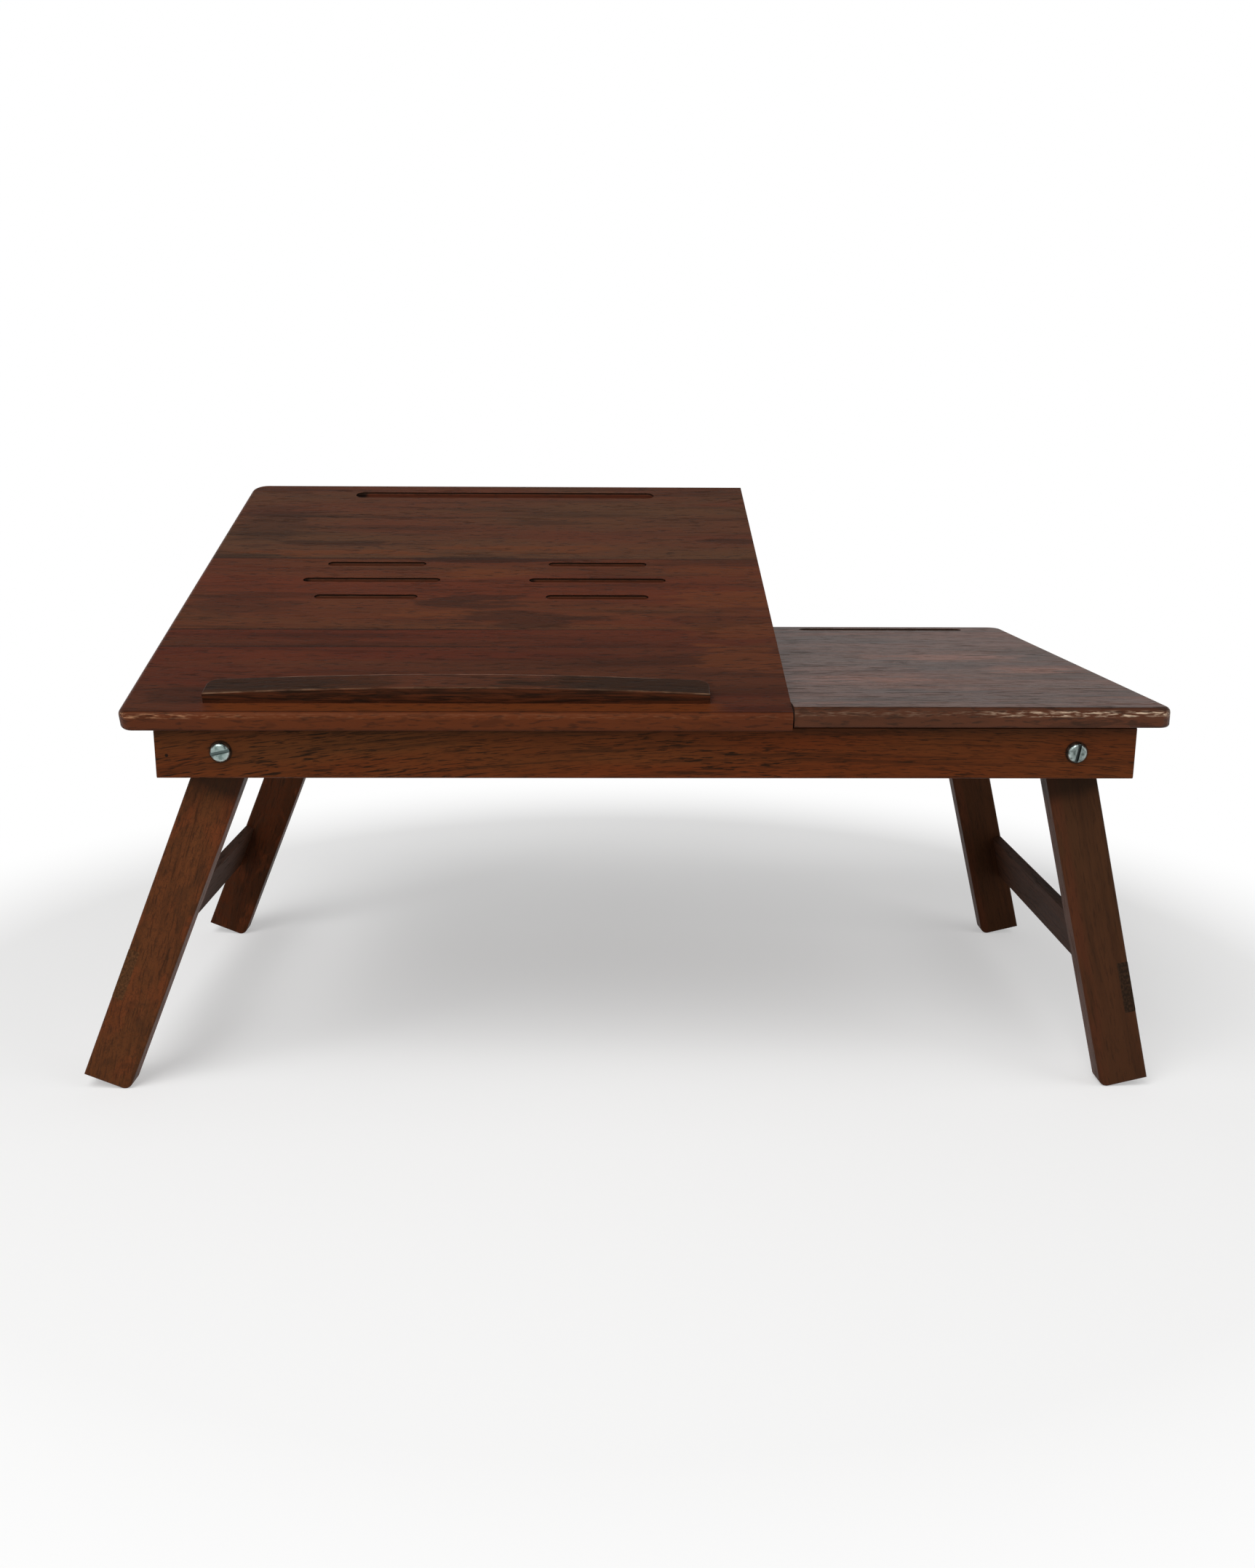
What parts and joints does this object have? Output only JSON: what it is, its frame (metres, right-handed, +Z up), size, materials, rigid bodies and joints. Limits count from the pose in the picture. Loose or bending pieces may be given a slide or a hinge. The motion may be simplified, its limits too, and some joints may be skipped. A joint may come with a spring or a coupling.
{
  "type": "folding laptop table",
  "caption": "Low wooden bed table: a tilting laptop board with vent grooves and a stop ledge beside a fixed side board, on a rail frame with splayed leg pairs that fold up inside it.",
  "frame": {"origin": "on the floor, midway between the outermost points of the feet and of the top's depth", "axes": "+Z up, +X along the front towards the side board, +Y from the front edge to the back"},
  "size_m": [0.6736, 0.3833, 0.3644],
  "materials": {
    "laptop_board_wood": "satin lacquer, dark reddish brown, open grain",
    "side_board_wood": "satin lacquer, dark reddish brown, open grain",
    "ledge_wood": "satin lacquer, darker brown",
    "rail_wood": "satin lacquer, orange brown with dark pores",
    "leg_wood": "satin lacquer, mottled brown",
    "zinc_bolts": "bright zinc plate",
    "hinge_steel": "browned steel",
    "stay_steel": "zinc plate",
    "screw_steel": "dull zinc"
  },
  "bodies": {
    "frame": {"front_rail": "rail_wood", "back_rail": "rail_wood", "left_end_rail": "rail_wood", "right_end_rail": "rail_wood", "middle_bearer": "rail_wood", "rail_brads": "screw_steel", "side_board": "side_board_wood", "side_board_screws": "screw_steel", "pivot_bolts": "zinc_bolts", "pivot_washers": "zinc_bolts", "pivot_nuts": "zinc_bolts", "left_hinge_rail_leaf": "hinge_steel", "left_hinge_pin": "hinge_steel", "right_hinge_rail_leaf": "hinge_steel", "right_hinge_pin": "hinge_steel", "hinge_rail_screws": "hinge_steel", "stay_screws": "stay_steel", "stay_washers": "stay_steel"},
    "tilting_board": {"laptop_board": "laptop_board_wood", "laptop_ledge": "ledge_wood", "ledge_screws": "screw_steel", "left_hinge_board_leaf": "hinge_steel", "right_hinge_board_leaf": "hinge_steel", "hinge_board_screws": "hinge_steel", "left_stay_bracket": "stay_steel", "right_stay_bracket": "stay_steel", "stay_bracket_screws": "stay_steel", "stay_rivets": "stay_steel"},
    "left_stay": {"left_stay": "stay_steel"},
    "right_stay": {"right_stay": "stay_steel"},
    "left_legs": {"left_near_leg": "leg_wood", "left_far_leg": "leg_wood", "left_stretcher": "leg_wood", "left_stretcher_screws": "screw_steel"},
    "right_legs": {"right_near_leg": "leg_wood", "right_far_leg": "leg_wood", "right_stretcher": "leg_wood", "right_stretcher_screws": "screw_steel"}
  },
  "joints": [
    {"name": "board_tilt", "type": "hinge", "parent": "frame", "child": "tilting_board", "pos_m": [-0.0947, -0.1805, 0.23815], "axis": [1, 0, 0], "range_deg": [-18.2, 0]},
    {"name": "left_stay_swing", "type": "hinge", "parent": "tilting_board", "child": "left_stay", "pos_m": [-0.25345, -0.08269, 0.26083], "axis": [1, 0, 0], "range_deg": [0, 32.04]},
    {"name": "right_stay_swing", "type": "hinge", "parent": "tilting_board", "child": "right_stay", "pos_m": [0.01105, -0.08269, 0.26083], "axis": [1, 0, 0], "range_deg": [0, 32.04]},
    {"name": "left_legs_fold", "type": "hinge", "parent": "frame", "child": "left_legs", "pos_m": [-0.23276, 0, 0.222], "axis": [0, -1, 0], "range_deg": [0, 112.5]},
    {"name": "right_legs_fold", "type": "hinge", "parent": "frame", "child": "right_legs", "pos_m": [0.26836, 0, 0.222], "axis": [0, 1, 0], "range_deg": [0, 103.8]}
  ],
  "couplings": [
    {"joint": "left_stay_swing", "follows": "board_tilt", "ratio": -1.76},
    {"joint": "right_stay_swing", "follows": "board_tilt", "ratio": -1.76}
  ]
}
